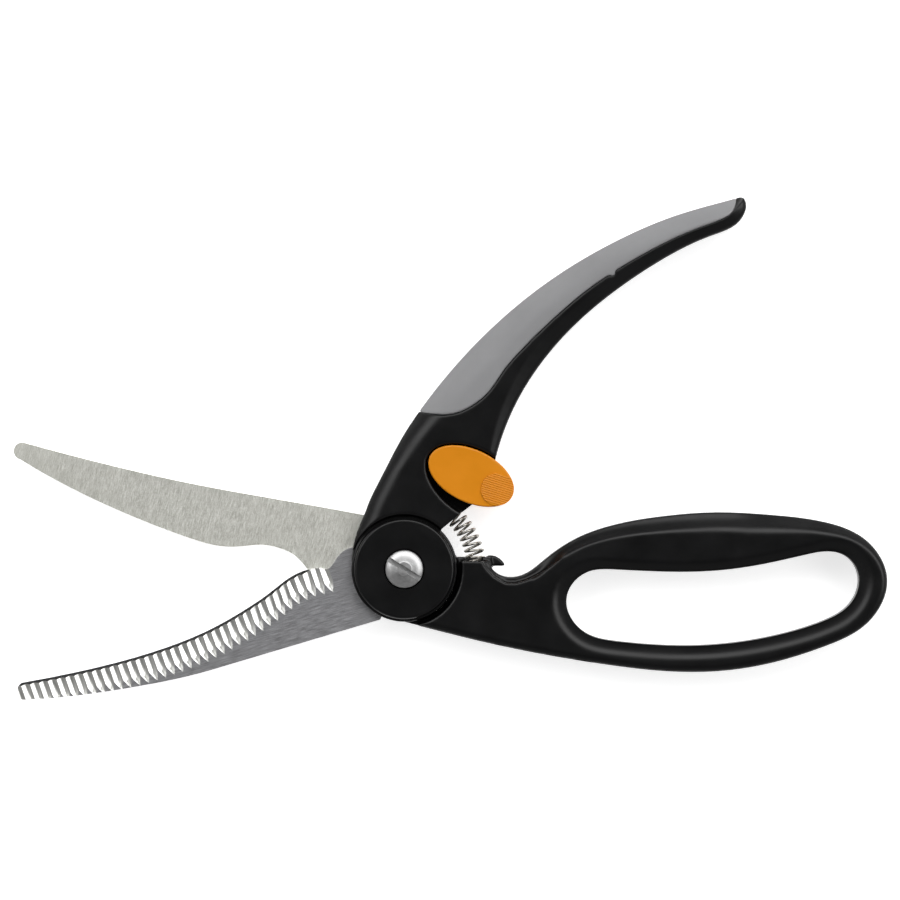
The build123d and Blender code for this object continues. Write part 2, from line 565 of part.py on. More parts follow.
with BuildPart() as latch_rear_plate:
    with BuildSketch():
        with Locations(Location((LATCH_CENTRE.X, LATCH_CENTRE.Y, 0), (0, 0, LATCH_TILT))):
            Ellipse(LATCH_HALF_LENGTH, LATCH_HALF_WIDTH)
    extrude(amount=PLATE_THICKNESS)
    fillet(latch_rear_plate.edges().group_by(Axis.Z)[0], PLATE_FILLET)
latch_rear_plate.part.label = "latch_rear_plate"

with BuildPart() as latch_lever:
    with BuildSketch(Plane.XY.offset(MID - LATCH_ARM / 2)):
        with Locations(LATCH_PIVOT):
            Circle(ARM_HUB)
        Polygon(
            on_latch(LATCH_PIVOT_OFFSET, -ARM_HALF_WIDTH), on_latch(ARM_END, -ARM_HALF_WIDTH),
            on_latch(ARM_END, ARM_HALF_WIDTH), on_latch(LATCH_PIVOT_OFFSET, ARM_HALF_WIDTH), align=None,
        )
        Polygon(*PAWL, align=None)
        with Locations(LATCH_PIVOT):
            Circle(PIN_RADIUS + RUNNING_GAP, mode=Mode.SUBTRACT)
    extrude(amount=LATCH_ARM)
    with BuildSketch(Plane.XY.offset(PLATE_THICKNESS)):
        with Locations(POST):
            Circle(POST_RADIUS)
    extrude(amount=THICKNESS - 2 * PLATE_THICKNESS)
latch_lever.part.label = "latch_lever"

with BuildPart() as latch_pin:
    with BuildSketch(Plane.XY.offset(PLATE_THICKNESS + PIN_END_GAP)):
        with Locations(LATCH_PIVOT):
            Circle(PIN_RADIUS)
    extrude(amount=THICKNESS - 2 * (PLATE_THICKNESS + PIN_END_GAP))
latch_pin.part.label = "latch_pin"

with BuildPart() as latch_detent:
    with Locations(DETENT_PLACE):
        Cylinder(DETENT_RADIUS, DETENT_LENGTH)
latch_detent.part.label = "latch_detent"

for piece in (
    smooth_blade.part, serrated_blade.part, upper_handle.part, soft_grip.part, loop_handle.part,
    front_pivot_cap.part, rear_pivot_cap.part, pivot_bush.part, pivot_washer.part, pivot_screw.part,
    pivot_nut.part, upper_spring_cup, lower_spring_cup, return_spring, latch_front_plate.part,
    latch_rear_plate.part, latch_lever.part, latch_pin.part, latch_detent.part,
):
    export_step(piece, f"parts/{piece.label}.step")
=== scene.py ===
import math

import bmesh
import bpy
import numpy as np
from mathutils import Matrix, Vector
from mathutils.bvhtree import BVHTree
from mathutils.kdtree import KDTree


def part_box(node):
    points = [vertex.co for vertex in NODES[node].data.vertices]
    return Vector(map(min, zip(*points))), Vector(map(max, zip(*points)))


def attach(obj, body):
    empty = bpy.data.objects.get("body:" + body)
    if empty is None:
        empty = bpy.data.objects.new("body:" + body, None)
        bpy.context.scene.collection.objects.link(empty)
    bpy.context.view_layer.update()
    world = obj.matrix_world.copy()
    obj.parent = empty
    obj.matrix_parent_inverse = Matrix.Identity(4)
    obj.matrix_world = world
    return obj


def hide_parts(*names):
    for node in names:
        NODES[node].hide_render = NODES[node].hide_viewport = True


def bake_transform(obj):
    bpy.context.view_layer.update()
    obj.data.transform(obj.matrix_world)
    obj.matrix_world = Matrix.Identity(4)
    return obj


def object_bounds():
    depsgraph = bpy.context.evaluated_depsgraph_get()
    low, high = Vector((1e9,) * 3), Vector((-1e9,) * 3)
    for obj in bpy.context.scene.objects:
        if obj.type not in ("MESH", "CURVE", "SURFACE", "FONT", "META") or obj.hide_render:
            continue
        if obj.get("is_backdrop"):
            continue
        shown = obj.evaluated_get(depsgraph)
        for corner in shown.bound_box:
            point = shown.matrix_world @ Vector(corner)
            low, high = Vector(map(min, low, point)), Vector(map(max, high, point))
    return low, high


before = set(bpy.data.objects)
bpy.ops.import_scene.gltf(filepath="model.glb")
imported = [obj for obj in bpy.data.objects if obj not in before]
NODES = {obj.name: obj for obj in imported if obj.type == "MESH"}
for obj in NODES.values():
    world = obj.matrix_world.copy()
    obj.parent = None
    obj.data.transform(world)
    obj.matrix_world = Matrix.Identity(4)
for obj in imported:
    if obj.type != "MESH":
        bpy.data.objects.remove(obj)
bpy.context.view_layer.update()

# Poultry shears lying open on a pale table, seen from straight above. Metres; +Z is the pivot axis.
MM = 0.001
PIVOT_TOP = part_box("upper_handle")[1].z
MIDDLE = PIVOT_TOP / 2  # the plane where the blades meet
LOOP_BOSS = 16.4 * MM  # inside this radius the loop handle keeps its exact CAD shape
UPPER_BOSS = 14.6 * MM  # and inside this one the upper handle
BOSS_BLEND = 0.7 * MM


# ------------------------------------------------------------------ small helpers
def smoothstep(low, high, value):
    t = np.clip((value - low) / (high - low), 0, 1)
    return t * t * (3 - 2 * t)


def positions(mesh):
    co = np.empty(len(mesh.vertices) * 3)
    mesh.vertices.foreach_get("co", co)
    return co.reshape(-1, 3)


def new_object(name, mesh):
    piece = bpy.data.objects.new(name, mesh)
    bpy.context.scene.collection.objects.link(piece)
    return piece


def shade_smooth(mesh):
    mesh.polygons.foreach_set("use_smooth", [True] * len(mesh.polygons))
    mesh.update()


# ------------------------------------------------------------------ materials
NOISE_RANGE = (0.3, 0.7)  # where most values of a noise pattern lie


class Finish:
    """A Principled material and the few node patterns that the pieces share."""

    def __init__(self, name, colour, roughness, metallic=0.0, specular=0.5):
        self.material = bpy.data.materials.new(name)
        self.material.use_nodes = True
        self.tree = self.material.node_tree
        self.shader = self.tree.nodes["Principled BSDF"]
        self.shader.inputs["Base Color"].default_value = (*colour, 1)
        self.shader.inputs["Roughness"].default_value = roughness
        self.shader.inputs["Metallic"].default_value = metallic
        self.shader.inputs["Specular IOR Level"].default_value = specular
        self.colour = colour
        self.last_bump = None

    def node(self, kind, **values):
        node = self.tree.nodes.new(kind)
        for key, value in values.items():
            setattr(node, key, value)
        return node

    def link(self, output, target):
        self.tree.links.new(output, target)

    def noise(self, scale, stretch=(1, 1, 1), turn=0.0, detail=4.0, roughness=0.6):
        """Noise in the object's own frame.

        Scale is in features per metre, and stretch multiplies it along each axis after the turn about Z.
        """
        place = self.node("ShaderNodeTexCoord")
        mapping = self.node("ShaderNodeMapping")
        mapping.vector_type = "TEXTURE"
        mapping.inputs["Rotation"].default_value = (0, 0, turn)
        mapping.inputs["Scale"].default_value = tuple(1 / s for s in stretch)
        pattern = self.node("ShaderNodeTexNoise")
        pattern.inputs["Scale"].default_value = scale
        pattern.inputs["Detail"].default_value = detail
        pattern.inputs["Roughness"].default_value = roughness
        self.link(place.outputs["Object"], mapping.inputs["Vector"])
        self.link(mapping.outputs["Vector"], pattern.inputs["Vector"])
        return pattern.outputs["Fac"]

    def ramp(self, value, low, high):
        """From low to high as a noise value goes over its usual range."""
        remap = self.node("ShaderNodeMapRange")
        remap.inputs["From Min"].default_value = NOISE_RANGE[0]
        remap.inputs["From Max"].default_value = NOISE_RANGE[1]
        remap.inputs["To Min"].default_value = low
        remap.inputs["To Max"].default_value = high
        self.link(value, remap.inputs["Value"])
        return remap.outputs["Result"]

    def vary_colour(self, value, darker, lighter):
        """Base colour between two shares of itself, by a noise value.

        In a colour mix, inputs 6 and 7 are the two colours, and output 2 is the result.
        """
        mix = self.node("ShaderNodeMix", data_type="RGBA")
        mix.inputs[6].default_value = (*[c * darker for c in self.colour], 1)
        mix.inputs[7].default_value = (*[min(c * lighter, 1) for c in self.colour], 1)
        self.link(self.ramp(value, 0, 1), mix.inputs[0])
        self.link(mix.outputs[2], self.shader.inputs["Base Color"])

    def vary_roughness(self, value, low, high):
        self.link(self.ramp(value, low, high), self.shader.inputs["Roughness"])

    def bump(self, value, strength, distance):
        bump = self.node("ShaderNodeBump")
        bump.inputs["Strength"].default_value = strength
        bump.inputs["Distance"].default_value = distance
        self.link(value, bump.inputs["Height"])
        if self.last_bump:
            self.link(self.last_bump.outputs["Normal"], bump.inputs["Normal"])
        self.link(bump.outputs["Normal"], self.shader.inputs["Normal"])
        self.last_bump = bump


def black_plastic():
    finish = Finish("satin black nylon", (0.0016, 0.0016, 0.0018), 0.32, specular=0.30)
    grain = finish.noise(2600, detail=3)
    blotch = finish.noise(90, detail=3)
    finish.vary_colour(blotch, 0.8, 1.25)
    finish.vary_roughness(blotch, 0.29, 0.37)
    finish.bump(grain, 0.22, 0.06 * MM)
    finish.bump(blotch, 0.05, 0.2 * MM)
    return finish.material


def recess_shade_plastic():
    # Painted shade: a darker black with almost no sheen, put on the recess floor in place of the shade that
    # falls there.
    finish = Finish("black recess painted shade", (0.0012, 0.0012, 0.0013), 0.8, specular=0.08)
    grain = finish.noise(2600, detail=3)
    finish.vary_roughness(grain, 0.7, 0.9)
    finish.bump(grain, 0.3, 0.08 * MM)
    return finish.material


def grey_grip():
    finish = Finish("soft grey grip", (0.232, 0.232, 0.237), 0.6, specular=0.3)
    grain = finish.noise(3200, detail=3)
    blotch = finish.noise(60, detail=4)
    finish.vary_colour(blotch, 0.95, 1.05)
    finish.vary_roughness(grain, 0.55, 0.7)
    finish.bump(grain, 0.16, 0.05 * MM)
    return finish.material


def orange_plastic():
    finish = Finish("orange moulding", (0.63, 0.215, 0.003), 0.36, specular=0.35)
    grain = finish.noise(2800, detail=3)
    blotch = finish.noise(120, detail=3)
    finish.vary_colour(blotch, 0.96, 1.04)
    finish.vary_roughness(blotch, 0.30, 0.38)
    finish.bump(grain, 0.12, 0.04 * MM)
    return finish.material


def smooth_steel():
    """Steel brushed across the blade, with fine specks."""
    finish = Finish("cross-brushed steel", (0.90, 0.90, 0.785), 0.42, metallic=1.0)
    streak = finish.noise(900, stretch=(4.5, 0.5, 1), turn=math.radians(-14), detail=4, roughness=0.7)
    speck = finish.noise(3400, stretch=(1.6, 0.7, 1), turn=math.radians(-14), detail=2)
    both = finish.node("ShaderNodeMix", data_type="FLOAT")  # its inputs 2 and 3 are the two values
    both.inputs[0].default_value = 0.4
    finish.link(streak, both.inputs[2])
    finish.link(speck, both.inputs[3])
    finish.vary_colour(both.outputs[0], 0.72, 1.2)
    finish.vary_roughness(streak, 0.36, 0.5)
    finish.bump(streak, 0.25, 0.05 * MM)
    return finish.material


def brushed_steel(name, colour, low, high, darker, lighter, along=16.5, bump=0.18):
    """Steel with fine streaks, which vary its roughness and its brightness."""
    finish = Finish(name, colour, (low + high) / 2, metallic=1.0)
    streak = finish.noise(800, stretch=(0.3, 5.0, 1), turn=math.radians(along), detail=4, roughness=0.7)
    finish.vary_colour(streak, darker, lighter)
    finish.vary_roughness(streak, low, high)
    finish.bump(streak, bump, 0.04 * MM)
    return finish.material


def bright_metal(name, colour, low, high):
    """Smooth metal with faint wear, its roughness from low to high."""
    finish = Finish(name, colour, (low + high) / 2, metallic=1.0)
    wear = finish.noise(900, detail=4)
    finish.vary_colour(wear, 0.9, 1.08)
    finish.vary_roughness(wear, low, high)
    finish.bump(wear, 0.06, 0.04 * MM)
    return finish.material


BLACK = black_plastic()
RECESS_SHADE_BLACK = recess_shade_plastic()
GREY = grey_grip()
ORANGE = orange_plastic()
BLADE = smooth_steel()
FLUTED = brushed_steel("dark brushed steel", (0.50, 0.50, 0.515), 0.30, 0.44, 0.72, 1.3)
FLUTE = brushed_steel("ground flutes", (0.64, 0.64, 0.615), 0.28, 0.36, 0.94, 1.05, along=-71, bump=0.05)
# Painted shade: the steep edge facet that faces +Y gets nearly black steel in place of the shade it shows.
PAINTED_SHADE_FACET = brushed_steel("edge facet painted shade", (0.015, 0.015, 0.016), 0.4, 0.5, 0.8, 1.2)
SCREW = bright_metal("polished screw", (0.47, 0.47, 0.47), 0.36, 0.44)
WIRE = bright_metal("spring wire", (0.42, 0.405, 0.37), 0.2, 0.32)
BRONZE = bright_metal("turned bronze", (0.50, 0.36, 0.16), 0.25, 0.4)


# ------------------------------------------------------------------ outline of a handle, read from its walls
WALL_SPACING = 0.25 * MM
WALL_CELL = 0.6 * MM  # size of the squares, in plan, in which wall heights are added up
WALL_LEAN = 0.1  # most that an upright wall's normal points up or down
WALL_REACH = 1.2 * MM  # most between neighbouring samples of one wall
LIKE_FACING = 0.5  # cosine between their normals
WALL_LAYERS = 15  # layers over the thickness
WALL_COVER = 10  # layers that a wall has to cover to belong to the outline, not to a recess


def wall_samples(name):
    """Samples of the upright walls of a CAD node, and which of them run right through it.

    Each row holds a point and its outward normal, in plan, and the height that the wall reaches there.
    """
    mesh = NODES[name].data
    mesh.calc_loop_triangles()
    corners = positions(mesh)[np.array([t.vertices[:] for t in mesh.loop_triangles])]
    normals = np.cross(corners[:, 1] - corners[:, 0], corners[:, 2] - corners[:, 0])
    normals /= np.maximum(np.linalg.norm(normals, axis=1), 1e-20)[:, None]
    upright = np.abs(normals[:, 2]) < WALL_LEAN
    layer = PIVOT_TOP / WALL_LAYERS
    covered = {}
    samples = []
    for triangle, normal in zip(corners[upright], normals[upright]):
        plan = triangle[:, :2]
        bottom, top = triangle[:, 2].min(), triangle[:, 2].max()
        layers = range(int(bottom / layer), math.ceil(top / layer))
        ends = max(((0, 1), (1, 2), (2, 0)), key=lambda e: np.linalg.norm(plan[e[0]] - plan[e[1]]))
        start, end = plan[ends[0]], plan[ends[1]]
        count = max(1, int(np.linalg.norm(end - start) / WALL_SPACING))
        for t in np.linspace(0, 1, count + 1):
            point = start + (end - start) * t
            samples.append((*point, *normal[:2], top))
            covered.setdefault((int(point[0] // WALL_CELL), int(point[1] // WALL_CELL)), set()).update(layers)
    samples = np.array(samples)
    cells = (samples[:, :2] // WALL_CELL).astype(int)
    around = [(i, j) for i in (-1, 0, 1) for j in (-1, 0, 1)]
    full = {}
    for cell in covered:
        union = set().union(*(covered.get((cell[0] + i, cell[1] + j), ()) for i, j in around))
        full[cell] = len(union) >= WALL_COVER
    return samples, np.array([full[tuple(cell)] for cell in cells])


def tree_of(samples):
    tree = KDTree(len(samples))
    for i, row in enumerate(samples):
        tree.insert((row[0], row[1], 0), i)
    tree.balance()
    return tree


def apart_from(samples, other, distance):
    """The samples with no sample of other nearer than distance."""
    tree = tree_of(other)
    return samples[[tree.find((row[0], row[1], 0))[2] > distance for row in samples]]


def connected(samples, seed):
    """Splits samples into those joined to the seed by short steps between like-facing walls, and the rest."""
    tree = tree_of(samples)
    found = {seed}
    waiting = [seed]
    while waiting:
        row = samples[waiting.pop()]
        for _, i, _ in tree.find_range((row[0], row[1], 0), WALL_REACH):
            if i not in found and samples[i, 2:4] @ row[2:4] > LIKE_FACING:
                found.add(i)
                waiting.append(i)
    inside = np.array([i in found for i in range(len(samples))])
    return samples[inside], samples[~inside]


def nearest(samples, points):
    """Distance in plan to the nearest sample, and that sample's normal, for each point."""
    tree = tree_of(samples)
    distance = np.empty(len(points))
    normal = np.empty((len(points), 2))
    for i, (x, y, _) in enumerate(points):
        _, index, distance[i] = tree.find((x, y, 0))
        normal[i] = samples[index, 2:4]
    return distance, normal


# ------------------------------------------------------------------ sculpted handles
VOXEL = 0.35 * MM
SOFTENING_ROUNDS = 2
SOFTENING = 0.5  # of the way to the neighbours' mean, each round


def remeshed(name, node):
    """An even, all-quad copy of a CAD node, ready to be sculpted."""
    source = new_object(name + "_source", NODES[node].data.copy())
    remesh = source.modifiers.new("even", "REMESH")
    remesh.mode = "VOXEL"
    remesh.voxel_size = VOXEL
    mesh = bpy.data.meshes.new_from_object(source.evaluated_get(bpy.context.evaluated_depsgraph_get()))
    mesh.name = name
    bpy.data.objects.remove(source)
    return mesh


def soften(mesh, rounds):
    """Moves each vertex towards the mean of its neighbours, a few rounds."""
    co = positions(mesh)
    edges = np.empty(len(mesh.edges) * 2, int)
    mesh.edges.foreach_get("vertices", edges)
    edges = edges.reshape(-1, 2)
    degree = np.bincount(edges.ravel(), minlength=len(co))[:, None]
    for _ in range(rounds):
        total = np.zeros_like(co)
        np.add.at(total, edges[:, 0], co[edges[:, 1]])
        np.add.at(total, edges[:, 1], co[edges[:, 0]])
        co += SOFTENING * (total / np.maximum(degree, 1) - co)
    mesh.vertices.foreach_set("co", co.ravel())


def crest(distance, width, softness, slope):
    """How far a surface has fallen at a distance from its edge, where it slopes up to a crest at some width.

    It turns level from the softness short of that width to the same length past it.
    """
    turned = np.clip((width + softness - distance) / (2 * softness), 0, 1)
    return slope * (softness * turned**2 + np.maximum(width - softness - distance, 0))


LEAST_SHARE = 0.36  # of the full thickness, at any edge
CORE_HALF = 3.6 * MM  # from the middle plane, where pockets and slots keep their height
CORE_SHARE = 0.75  # of the sculpted half thickness, at most
RELIEF_X = (20 * MM, 56 * MM)  # where the loop handle has its relief for the latch plates
RELIEF_RUN_OUT = (36 * MM, 46 * MM)  # where it gets shallower, along X
RELIEF_LEVEL = (12.0 * MM, 14.5 * MM)  # heights between which its floor lies
RELIEF_SLACK = 0.3 * MM
BESIDE_STEP = 0.45 * MM
BESIDE = [(x * BESIDE_STEP, y * BESIDE_STEP) for x, y in ((0, 0), (1, 0), (-1, 0), (0, 1), (0, -1))]


def over_relief(node, co):
    """Which points lie over the relief for the latch plate, or just beside it, in plan."""
    mesh = NODES[node].data
    mesh.calc_loop_triangles()
    tree = BVHTree.FromPolygons(positions(mesh).tolist(), [t.vertices[:] for t in mesh.loop_triangles])
    found = np.zeros(len(co), bool)
    for i in np.flatnonzero((co[:, 0] > RELIEF_X[0]) & (co[:, 0] < RELIEF_X[1])):
        for across, up in BESIDE:
            hit = tree.ray_cast((co[i, 0] + across, co[i, 1] + up, 2 * PIVOT_TOP), (0, 0, -1))[0]
            if hit and RELIEF_LEVEL[0] < hit.z < RELIEF_LEVEL[1]:
                found[i] = True
                break
    return found


def sculpt(mesh, fall_at, boss, relief_node=None):
    """Squeezes the handle towards its middle plane, by the fall of its faces at each place in plan.

    Nothing changes within the boss radius of the pivot. The relief for the latch plates keeps its depth, and
    runs out into the sculpted face at its end.
    """
    co = positions(mesh)
    share = np.maximum(1 - fall_at(co) / MIDDLE, LEAST_SHARE)
    share = 1 + (share - 1) * smoothstep(boss, boss + BOSS_BLEND, np.hypot(co[:, 0], co[:, 1]))
    depth = co[:, 2] - MIDDLE
    reach = MIDDLE * share
    core = np.minimum(CORE_HALF, CORE_SHARE * reach)
    outside = np.maximum(np.abs(depth) - core, 0) * (reach - core) / (MIDDLE - core)
    squeezed = np.sign(depth) * (np.minimum(np.abs(depth), core) + outside)
    if relief_node:
        level = np.minimum(np.abs(depth), reach)
        level += (reach - level) * smoothstep(*RELIEF_RUN_OUT, co[:, 0])
        chosen = over_relief(relief_node, co) & (np.abs(depth) > RELIEF_LEVEL[0] - MIDDLE - RELIEF_SLACK)
        squeezed[chosen] = (np.sign(depth) * level)[chosen]
    co[:, 2] = MIDDLE + squeezed
    mesh.vertices.foreach_set("co", co.ravel())


# Ridge on the loop: pairs of X and distance from the outline, softness, and slope outside it, in mm
RIDGE_X = (21, 33, 36, 38, 44, 51, 59, 70, 82, 97, 108, 120, 127, 132, 136)
RIDGE_WIDTH = (0.1, 0.3, 2.3, 2.5, 2.5, 2.9, 3.4, 4.1, 4.6, 4.6, 3.9, 2.9, 2.2, 1.5, 1.0)
RIDGE_SOFT_X = (45, 70, 90, 103, 114, 128, 136)
RIDGE_SOFTNESS = (0.3, 0.7, 1.4, 1.6, 0.9, 0.5, 0.4)
RIDGE_SLOPE_X = (36, 46, 65, 85)
RIDGE_SLOPE = (2.5, 1.6, 1.05, 0.9)
RIDGE_DROP = 2.0  # down the steep side of the ridge, to the gentler slope outside it
OUTER_SLOPE = 0.48
GENTLE_END_X = (90, 108)  # where the gentler slope runs out
FOOT_SOFTNESS = 1.2 * MM
RIDGE_FACING = (-0.45, 0.25)  # the Y of the outline's normal, from where the ridge starts to where it is full
UNDER_WIDTH = 1.0 * MM  # the plain rounded edge along the underside of the loop
UNDER_SOFTNESS = 0.8 * MM
UNDER_SLOPE = 0.8
INNER_X = (45, 60, 115, 125)
INNER_TOP_WIDTH = (2.6, 1.6, 1.6, 3.0)  # along the upper bar
INNER_WIDTH = 2.9  # along the rest of the opening
INNER_SOFTNESS = 1.7 * MM
INNER_SLOPE = 0.95
INNER_FACING = (0.2, 0.8)  # downward part of the opening's normal, up to where the upper bar's width holds
OPENING_START = 40 * MM  # along X
HALF_HEIGHT_BAND = 3.5 * MM  # only wall triangles with their top this near the middle plane are sampled


def loop_fall(co):
    """Fall of the loop handle's faces: a ridge along its top, and rounded edges elsewhere."""
    samples, full = wall_samples("loop_handle")
    halfway = np.abs(samples[:, 4] - MIDDLE) < HALF_HEIGHT_BAND
    samples = samples[full & halfway]
    outer, opening = connected(samples, int(np.argmax(samples[:, 0])))
    opening = opening[opening[:, 0] > OPENING_START]
    out, out_normal = nearest(outer, co)
    into, in_normal = nearest(opening, co)
    x = co[:, 0] / MM
    upper = smoothstep(*RIDGE_FACING, out_normal[:, 1])
    softness = np.interp(x, RIDGE_SOFT_X, RIDGE_SOFTNESS) * MM
    width = np.interp(x, RIDGE_X, RIDGE_WIDTH) * MM
    slope = np.interp(x, RIDGE_SLOPE_X, RIDGE_SLOPE)
    foot = width - RIDGE_DROP * MM / slope
    gentler = (slope - OUTER_SLOPE) * (1 - smoothstep(*GENTLE_END_X, x))
    ridge = crest(out, width, softness, slope) - crest(out, foot, FOOT_SOFTNESS, gentler)
    under = crest(out, UNDER_WIDTH, UNDER_SOFTNESS, UNDER_SLOPE)
    below = smoothstep(*INNER_FACING, -in_normal[:, 1])
    inner_width = INNER_WIDTH + (np.interp(x, INNER_X, INNER_TOP_WIDTH) - INNER_WIDTH) * below
    inner = crest(into, inner_width * MM, INNER_SOFTNESS, INNER_SLOPE)
    return under + (ridge - under) * upper + inner


# Crests on the upper handle: pairs of Y and distance from the outline, in mm
BACK_Y = (28, 44, 60, 90)
BACK_WIDTH = (2.6, 4.0, 4.9, 3.4)
BACK_SOFTNESS = (2.3, 3.0, 3.2, 2.4)
FRONT_Y = (17, 30, 45, 60, 82, 100)
FRONT_WIDTH = (0.3, 1.8, 3.0, 4.0, 3.8, 3.0)
FRONT_SOFTNESS = 0.6 * MM
FRONT_SLOPE = 0.42
BACK_SLOPE = 0.93
BACK_WAY = (-0.77, 0.64)  # direction that the back faces
BACK_FACING = (-0.25, 0.35)  # part of the outline's normal along it, from front to back
EDGE_WIDTH = 0.5 * MM  # the small rounding of the front's edge
EDGE_SOFTNESS = 0.3 * MM
EDGE_SLOPE = 0.8
TAPER_Y = (40, 75, 105)
TAPER_FALL = (0.0, 0.4, 1.4)  # thinning towards the tip
FRONT_BAND = 2 * MM  # walls of the outline end no further below the front than this
SHARED_WALL = 0.05 * MM  # walls of the two materials this near each other are the joint between them
SKIRT_RIGHT = -10.0 * MM  # left of this the handle's outline is the front skirt over the blades' hubs


def handle_outline():
    """Samples of the outline of the whole upper handle, hard and soft parts together."""
    black, black_full = wall_samples("upper_handle")
    grey, grey_full = wall_samples("soft_grip")
    reaches_front = black[:, 4] > PIVOT_TOP - FRONT_BAND
    faces_out = black[:, 0] * black[:, 2] + black[:, 1] * black[:, 3] > 0
    skirt = black[(black[:, 0] < SKIRT_RIGHT) & reaches_front & faces_out]
    black, grey = black[black_full & reaches_front], grey[grey_full]
    both = np.vstack((apart_from(black, grey, SHARED_WALL), apart_from(grey, black, SHARED_WALL), skirt))
    return connected(both, int(np.argmin(both[:, 0])))[0]


def handle_fall(co):
    """Fall of the upper handle's faces: a broad crown along its back, and a narrow bevel along its front."""
    out, normal = nearest(handle_outline(), co)
    y = co[:, 1] / MM
    back = smoothstep(*BACK_FACING, normal @ np.array(BACK_WAY))
    softness = np.interp(y, BACK_Y, BACK_SOFTNESS) * MM
    back_fall = crest(out, np.interp(y, BACK_Y, BACK_WIDTH) * MM, softness, BACK_SLOPE)
    front_fall = crest(out, np.interp(y, FRONT_Y, FRONT_WIDTH) * MM, FRONT_SOFTNESS, FRONT_SLOPE)
    edge_fall = crest(out, EDGE_WIDTH, EDGE_SOFTNESS, EDGE_SLOPE)
    taper = np.interp(y, TAPER_Y, TAPER_FALL) * MM
    return front_fall + edge_fall + (back_fall - front_fall - edge_fall) * back + taper


SETTLED_SHARE = 0.6


def settle(mesh, centre, radius, rounds):
    """Smooths a mesh further round one place in plan, fully within SETTLED_SHARE of the radius."""
    before = positions(mesh)
    soften(mesh, rounds)
    after = positions(mesh)
    apart = np.hypot(before[:, 0] - centre[0], before[:, 1] - centre[1])
    after = before + (after - before) * (1 - smoothstep(radius * SETTLED_SHARE, radius, apart))[:, None]
    mesh.vertices.foreach_set("co", after.ravel())


RECESS_MARGIN = 1 * MM  # round the latch plate, in plan
RECESS_FLOOR = (MIDDLE + 1 * MM, PIVOT_TOP - 1.6 * MM)  # heights between which its floor lies


def paint_recess_shade(mesh, box):
    """Gives the painted-shade material, a darker and duller black, to the floor of the recess round a box,
    seen in plan.
    """
    low, high = box
    for face in mesh.polygons:
        at = face.center
        in_x = low.x - RECESS_MARGIN < at.x < high.x + RECESS_MARGIN
        in_y = low.y - RECESS_MARGIN < at.y < high.y + RECESS_MARGIN
        if in_x and in_y and RECESS_FLOOR[0] < at.z < RECESS_FLOOR[1]:
            face.material_index = 1


def handle_piece(name, node, body, materials, fall_at, boss, relief_node=None):
    """Sculpted moulding that takes the place of a CAD node."""
    mesh = remeshed(name, node)
    sculpt(mesh, fall_at, boss, relief_node)
    soften(mesh, SOFTENING_ROUNDS)
    shade_smooth(mesh)
    mesh.materials.clear()
    for material in materials:
        mesh.materials.append(material)
    piece = new_object(name, mesh)
    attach(piece, body)
    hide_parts(node)
    return piece


RELIEF_END = (44.0 * MM, 4.5 * MM)  # where the latch relief runs out into the loop's upper face
RELIEF_END_RADIUS = 7 * MM
RELIEF_END_ROUNDS = 3


def handles():
    loop = handle_piece(
        "loop_handle_moulding", "loop_handle", "loop_lever", (BLACK,),
        loop_fall, LOOP_BOSS, relief_node="loop_handle",
    )
    settle(loop.data, RELIEF_END, RELIEF_END_RADIUS, RELIEF_END_ROUNDS)
    upper = handle_piece(
        "upper_handle_moulding", "upper_handle", "upper_lever", (BLACK, RECESS_SHADE_BLACK),
        handle_fall, UPPER_BOSS,
    )
    # Painted shade on the floor of the recess round the latch plate.
    paint_recess_shade(upper.data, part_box("latch_front_plate"))
    handle_piece(
        "soft_grip_moulding", "soft_grip", "upper_lever", (GREY,),
        handle_fall, UPPER_BOSS,
    )


# ------------------------------------------------------------------ the fluted blade
STEEP_FACET = (0.01, 0.62)  # upward part of the edge facet's normal; the flutes face up more than that
LEAST_LEAN = 0.02  # of a flute's normal, from straight up
SAME_PLACE = 0.001 * MM


def fluted_blade():
    """The CAD blade with its ground faces told apart by the way they face, and its steep edge facet towards
    +Y painted nearly black as shade.

    The flutes are shaded smoothly along their bottoms, and all other edges stay crisp.
    """
    mesh = NODES["serrated_blade"].data.copy()
    mesh.materials.clear()
    for material in (FLUTED, FLUTE, PAINTED_SHADE_FACET):
        mesh.materials.append(material)
    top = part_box("serrated_blade")[1].z
    form = bmesh.new()
    form.from_mesh(mesh)
    bmesh.ops.remove_doubles(form, verts=form.verts, dist=SAME_PLACE)
    for face in form.faces:
        lean = math.hypot(face.normal.x, face.normal.y)
        high = max(vert.co.z for vert in face.verts)
        face.material_index = 0
        # Painted shade: the steep facets that face +Y take the nearly black steel.
        if STEEP_FACET[0] < face.normal.z < STEEP_FACET[1] and face.normal.y > 0:
            face.material_index = 2
        elif face.normal.z > STEEP_FACET[1] and lean > LEAST_LEAN and high <= top + SAME_PLACE:
            face.material_index = 1
        face.smooth = face.material_index == 1
    for edge in form.edges:
        within_flutes = [face.material_index for face in edge.link_faces] == [1, 1]
        edge.smooth = within_flutes and not edge.is_convex
    form.to_mesh(mesh)
    form.free()
    piece = new_object("fluted_blade_ground", mesh)
    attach(piece, "upper_lever")
    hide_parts("serrated_blade")


# ------------------------------------------------------------------ the return spring
WIRE_RADIUS = 0.36 * MM
COIL_RADIUS = 2.49 * MM
ARC_RADIUS = 20.3 * MM
SPRING_ANGLES = (-3.1, 62.1)  # degrees about the pivot, at rest
WORKING_TURNS = 11.2
END_TURNS = 1.1  # closed turns at each end
END_SPACING = 1.08  # of the wire's diameter, between the middles of the closed turns
START_TURN = 1.9  # radians round the coil where the wire starts
STEPS = 28  # points per turn
SIDES = 10  # round the wire


